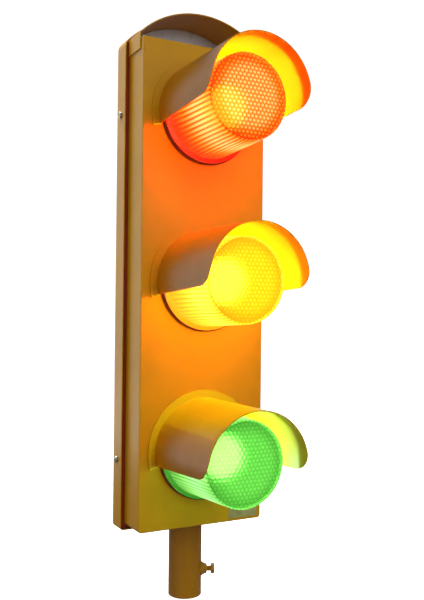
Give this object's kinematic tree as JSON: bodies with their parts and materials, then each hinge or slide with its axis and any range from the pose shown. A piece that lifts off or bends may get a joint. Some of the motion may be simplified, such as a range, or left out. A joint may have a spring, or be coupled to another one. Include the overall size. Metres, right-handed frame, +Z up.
{
  "type": "traffic signal head",
  "caption": "Small sheet-metal traffic signal head with red, amber and green cup lenses under half-tube visors, an arched top hood and a clamped pole socket below.",
  "frame": {"origin": "centre of the socket tube's open bottom end, on the pole's axis", "axes": "+Z up along the pole, +X to the right as seen from the front, -Y out of the lenses"},
  "size_m": [0.2152, 0.2342, 0.8435],
  "materials": {
    "signal_paint": "satin signal-yellow paint",
    "dark_rubber": "matt dark maroon rubber",
    "galvanised_steel": "galvanised, unpainted",
    "label_plate": "bare metal label, no text",
    "zinc_steel": "zinc-plated fasteners",
    "tube_paint": "semi-gloss ochre brown paint",
    "dark_plastic": "matt moulded black-brown plastic",
    "brass": "bright brass",
    "white_ceramic": "glazed white ceramic",
    "bulb_glass": "clear lamp glass",
    "red_wire": "PVC wire insulation",
    "amber_wire": "PVC wire insulation",
    "green_wire": "PVC wire insulation",
    "red_lens": "translucent fluted and dimpled red",
    "amber_lens": "translucent fluted and dimpled amber",
    "green_lens": "translucent fluted and dimpled green"
  },
  "bodies": {
    "housing": {"front_cover": "signal_paint", "rear_cover": "signal_paint", "cover_seal": "dark_rubber", "top_hood": "signal_paint", "hood_back_plate": "galvanised_steel", "nameplate": "label_plate", "cover_screw_left_lower": "zinc_steel", "cover_screw_left_upper": "zinc_steel", "cover_screw_right_lower": "zinc_steel", "cover_screw_right_upper": "zinc_steel", "socket_tube": "tube_paint", "clamp_nut": "tube_paint", "cable_grommet": "dark_rubber", "tube_screw_left": "zinc_steel", "tube_screw_right": "zinc_steel", "mounting_rail": "galvanised_steel", "terminal_block": "dark_plastic", "earth_stud": "brass", "earth_nut": "brass", "red_visor": "signal_paint", "red_visor_screw_left": "zinc_steel", "red_visor_screw_right": "zinc_steel", "red_base_ring": "dark_plastic", "red_panel_gasket": "dark_rubber", "red_lock_ring": "dark_plastic", "red_lens_seal": "dark_rubber", "red_lampholder": "white_ceramic", "red_bulb_cap": "brass", "red_bulb_globe": "bulb_glass", "red_lead": "red_wire", "amber_visor": "signal_paint", "amber_visor_screw_left": "zinc_steel", "amber_visor_screw_right": "zinc_steel", "amber_base_ring": "dark_plastic", "amber_panel_gasket": "dark_rubber", "amber_lock_ring": "dark_plastic", "amber_lens_seal": "dark_rubber", "amber_lampholder": "white_ceramic", "amber_bulb_cap": "brass", "amber_bulb_globe": "bulb_glass", "amber_lead": "amber_wire", "green_visor": "signal_paint", "green_visor_screw_left": "zinc_steel", "green_visor_screw_right": "zinc_steel", "green_base_ring": "dark_plastic", "green_panel_gasket": "dark_rubber", "green_lock_ring": "dark_plastic", "green_lens_seal": "dark_rubber", "green_lampholder": "white_ceramic", "green_bulb_cap": "brass", "green_bulb_globe": "bulb_glass", "green_lead": "green_wire"},
    "red_lens_body": {"red_lens": "red_lens"},
    "amber_lens_body": {"amber_lens": "amber_lens"},
    "green_lens_body": {"green_lens": "green_lens"},
    "clamp_pad_body": {"clamp_pad": "brass"},
    "clamp_bolt_body": {"clamp_bolt": "tube_paint"}
  },
  "joints": [
    {"name": "red_lens_twist", "type": "hinge", "parent": "housing", "child": "red_lens_body", "pos_m": [0, -0.1, 0.693], "axis": [0, -1, 0], "range_deg": [0, 35]},
    {"name": "amber_lens_twist", "type": "hinge", "parent": "housing", "child": "amber_lens_body", "pos_m": [0, -0.1, 0.4565], "axis": [0, -1, 0], "range_deg": [0, 35]},
    {"name": "green_lens_twist", "type": "hinge", "parent": "housing", "child": "green_lens_body", "pos_m": [0, -0.1, 0.22], "axis": [0, -1, 0], "range_deg": [0, 35]},
    {"name": "clamp_feed", "type": "slide", "parent": "housing", "child": "clamp_pad_body", "axis": [-0.8988, 0.4384, 0], "range_m": [-0.00374, 0.00499]},
    {"name": "clamp_turn", "type": "hinge", "parent": "clamp_pad_body", "child": "clamp_bolt_body", "pos_m": [0.03146, -0.01534, 0.0365], "axis": [-0.8988, 0.4384, 0], "range_deg": [-1080, 1440]}
  ],
  "couplings": [
    {"joint": "clamp_turn", "follows": "clamp_feed", "rad_per_m": 5026.5}
  ]
}
